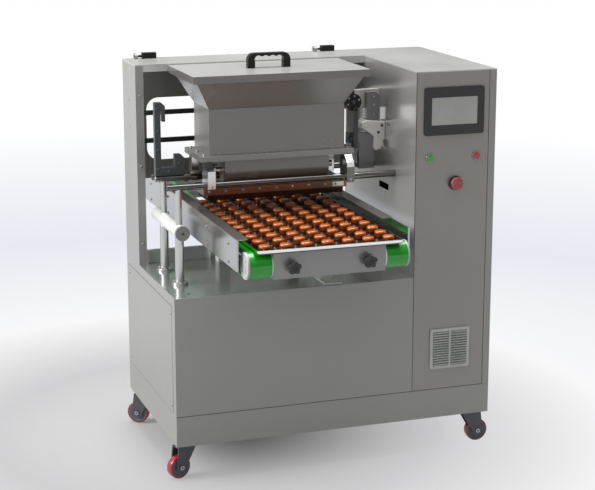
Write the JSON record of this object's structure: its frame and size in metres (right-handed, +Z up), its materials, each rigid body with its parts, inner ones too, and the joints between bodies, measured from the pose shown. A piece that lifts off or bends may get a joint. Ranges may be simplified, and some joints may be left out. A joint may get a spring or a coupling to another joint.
{
  "type": "cookie depositor",
  "caption": "Floor-standing cookie depositor: steel cabinet on casters with a control tower, hopper head, feed rollers, nozzle bar and a belt conveyor carrying a tray of dough.",
  "frame": {"origin": "on the floor under the middle of the machine's box", "axes": "+X to the machine's right, +Y to its back, +Z up"},
  "size_m": [1.0956, 1.2269, 1.2862],
  "materials": {
    "panel_steel": "satin sheet",
    "mirror_steel": "polished sheet",
    "bright_steel": "ground and polished",
    "hopper_steel": "brushed",
    "cream_metal": "satin paint",
    "dark_metal": "dark oxide",
    "black_plastic": "moulded",
    "screen_black": "gloss front",
    "green_plastic": "gloss",
    "red_plastic": "gloss",
    "grille_plastic": "moulded",
    "belt_green": "smooth",
    "pulley_white": "turned",
    "tray_metal": "satin",
    "dough": "moist",
    "wheel_red": "cast tread"
  },
  "bodies": {
    "cabinet": {"base_frame": "panel_steel", "front_panel": "panel_steel", "left_side_panel": "panel_steel", "left_access_panel": "panel_steel", "right_side_panel": "panel_steel", "rear_panel": "panel_steel", "tower_front_panel": "panel_steel", "roof_panel": "panel_steel", "deck_plate": "mirror_steel", "tower_inner_wall": "mirror_steel", "guide_rods": "bright_steel", "nozzle_bar": "bright_steel", "button_bezels": "bright_steel", "hopper_body": "hopper_steel", "hopper_flange": "hopper_steel", "roller_housing": "hopper_steel", "strap_clamps": "hopper_steel", "conveyor_frame": "hopper_steel", "guide_rails": "hopper_steel", "conveyor_stands": "hopper_steel", "guide_posts": "cream_metal", "cross_tube": "cream_metal", "drive_bracket": "cream_metal", "side_brackets": "dark_metal", "feed_motor": "dark_metal", "nozzles": "dark_metal", "caster_plates": "dark_metal", "guard_hinges": "black_plastic", "hmi_bezel": "black_plastic", "fan_frame": "black_plastic", "hmi_screen": "screen_black", "fan_grille": "grille_plastic", "conveyor_belts": "belt_green"},
    "guard": {"rear_guard": "panel_steel", "guard_bars": "dark_metal"},
    "start": {"start_button": "green_plastic"},
    "stop": {"stop_button": "red_plastic"},
    "emergency": {"emergency_button": "red_plastic"},
    "fan": {"fan_rotor": "black_plastic"},
    "lid": {"hopper_lid": "hopper_steel", "lid_handle": "black_plastic"},
    "front_roller": {"front_feed_roller": "bright_steel"},
    "rear_roller": {"rear_feed_roller": "bright_steel"},
    "crank": {"drive_crank": "dark_metal"},
    "link": {"link_rod": "bright_steel"},
    "lever": {"drive_lever": "dark_metal"},
    "front_drum": {"front_pulleys": "pulley_white"},
    "rear_drum": {"rear_pulleys": "pulley_white"},
    "knob_left": {"left_knob": "black_plastic"},
    "knob_right": {"right_knob": "black_plastic"},
    "tray": {"baking_tray": "tray_metal", "dough_pieces": "dough"},
    "front_left_swivel": {"front_left_fork": "dark_metal"},
    "front_left_roll": {"front_left_wheel": "wheel_red"},
    "front_right_swivel": {"front_right_fork": "dark_metal"},
    "front_right_roll": {"front_right_wheel": "wheel_red"},
    "rear_left_swivel": {"rear_left_fork": "dark_metal"},
    "rear_left_roll": {"rear_left_wheel": "wheel_red"},
    "rear_right_swivel": {"rear_right_fork": "dark_metal"},
    "rear_right_roll": {"rear_right_wheel": "wheel_red"}
  },
  "joints": [
    {"name": "guard_swing", "type": "hinge", "parent": "cabinet", "child": "guard", "pos_m": [0, 0.307, 1.251], "axis": [1, 0, 0], "range_deg": [0, 100]},
    {"name": "start_press", "type": "slide", "parent": "cabinet", "child": "start", "axis": [0, 1, 0], "range_m": [0, 0.004], "stiffness_N_per_m": 800},
    {"name": "stop_press", "type": "slide", "parent": "cabinet", "child": "stop", "axis": [0, 1, 0], "range_m": [0, 0.004], "stiffness_N_per_m": 800},
    {"name": "emergency_press", "type": "slide", "parent": "cabinet", "child": "emergency", "axis": [0, 1, 0], "range_m": [0, 0.005], "stiffness_N_per_m": 800},
    {"name": "fan_spin", "type": "hinge", "parent": "cabinet", "child": "fan", "pos_m": [0.382, -0.2765, 0.349], "axis": [0, 1, 0], "continuous": true},
    {"name": "lid_lift", "type": "slide", "parent": "cabinet", "child": "lid", "axis": [0, 0, 1], "range_m": [0, 0.12]},
    {"name": "front_roller_turn", "type": "hinge", "parent": "cabinet", "child": "front_roller", "pos_m": [-0.131, -0.057, 0.93], "axis": [1, 0, 0], "continuous": true},
    {"name": "rear_roller_turn", "type": "hinge", "parent": "cabinet", "child": "rear_roller", "pos_m": [-0.131, 0.002, 0.93], "axis": [1, 0, 0], "continuous": true},
    {"name": "crank_swing", "type": "hinge", "parent": "cabinet", "child": "crank", "pos_m": [0.139, -0.0515, 1.121], "axis": [0, 1, 0], "range_deg": [-30, 30]},
    {"name": "link_swing", "type": "hinge", "parent": "crank", "child": "link", "pos_m": [0.14521, -0.0585, 1.09782], "axis": [0, 1, 0], "range_deg": [-30, 30]},
    {"name": "lever_swing", "type": "hinge", "parent": "cabinet", "child": "lever", "pos_m": [0.139, -0.0515, 1.003], "axis": [0, 1, 0], "range_deg": [-30, 30]},
    {"name": "tray_travel", "type": "slide", "parent": "cabinet", "child": "tray", "axis": [0, 1, 0], "range_m": [0, 0.48]},
    {"name": "front_drum_turn", "type": "hinge", "parent": "cabinet", "child": "front_drum", "pos_m": [-0.131, -0.5455, 0.742], "axis": [-1, 0, 0], "range_deg": [0, 850]},
    {"name": "rear_drum_turn", "type": "hinge", "parent": "cabinet", "child": "rear_drum", "pos_m": [-0.131, 0.5725, 0.742], "axis": [-1, 0, 0], "range_deg": [0, 850]},
    {"name": "left_knob_turn", "type": "hinge", "parent": "cabinet", "child": "knob_left", "pos_m": [-0.248, -0.5965, 0.74], "axis": [0, 1, 0], "range_deg": [-180, 180]},
    {"name": "right_knob_turn", "type": "hinge", "parent": "cabinet", "child": "knob_right", "pos_m": [-0.014, -0.5965, 0.74], "axis": [0, 1, 0], "range_deg": [-180, 180]},
    {"name": "front_left_caster_turn", "type": "hinge", "parent": "cabinet", "child": "front_left_swivel", "pos_m": [-0.475, -0.2365, 0.108], "axis": [0, 0, 1], "continuous": true},
    {"name": "front_left_wheel_spin", "type": "hinge", "parent": "front_left_swivel", "child": "front_left_roll", "pos_m": [-0.50883, -0.24881, 0.0375], "axis": [0.342, -0.9397, 0], "continuous": true},
    {"name": "front_right_caster_turn", "type": "hinge", "parent": "cabinet", "child": "front_right_swivel", "pos_m": [0.475, -0.2365, 0.108], "axis": [0, 0, 1], "continuous": true},
    {"name": "front_right_wheel_spin", "type": "hinge", "parent": "front_right_swivel", "child": "front_right_roll", "pos_m": [0.511, -0.2365, 0.0375], "axis": [0, 1, 0], "continuous": true},
    {"name": "rear_left_caster_turn", "type": "hinge", "parent": "cabinet", "child": "rear_left_swivel", "pos_m": [-0.475, 0.2735, 0.108], "axis": [0, 0, 1], "continuous": true},
    {"name": "rear_left_wheel_spin", "type": "hinge", "parent": "rear_left_swivel", "child": "rear_left_roll", "pos_m": [-0.50449, 0.29415, 0.0375], "axis": [-0.5736, -0.8192, 0], "continuous": true},
    {"name": "rear_right_caster_turn", "type": "hinge", "parent": "cabinet", "child": "rear_right_swivel", "pos_m": [0.475, 0.2735, 0.108], "axis": [0, 0, 1], "continuous": true},
    {"name": "rear_right_wheel_spin", "type": "hinge", "parent": "rear_right_swivel", "child": "rear_right_roll", "pos_m": [0.50449, 0.29415, 0.0375], "axis": [-0.5736, 0.8192, 0], "continuous": true}
  ],
  "couplings": [
    {"joint": "rear_roller_turn", "follows": "front_roller_turn", "ratio": -1},
    {"joint": "link_swing", "follows": "crank_swing", "ratio": -1},
    {"joint": "lever_swing", "follows": "crank_swing", "ratio": 1},
    {"joint": "front_drum_turn", "follows": "tray_travel", "rad_per_m": 24.39},
    {"joint": "rear_drum_turn", "follows": "tray_travel", "rad_per_m": 24.39}
  ]
}
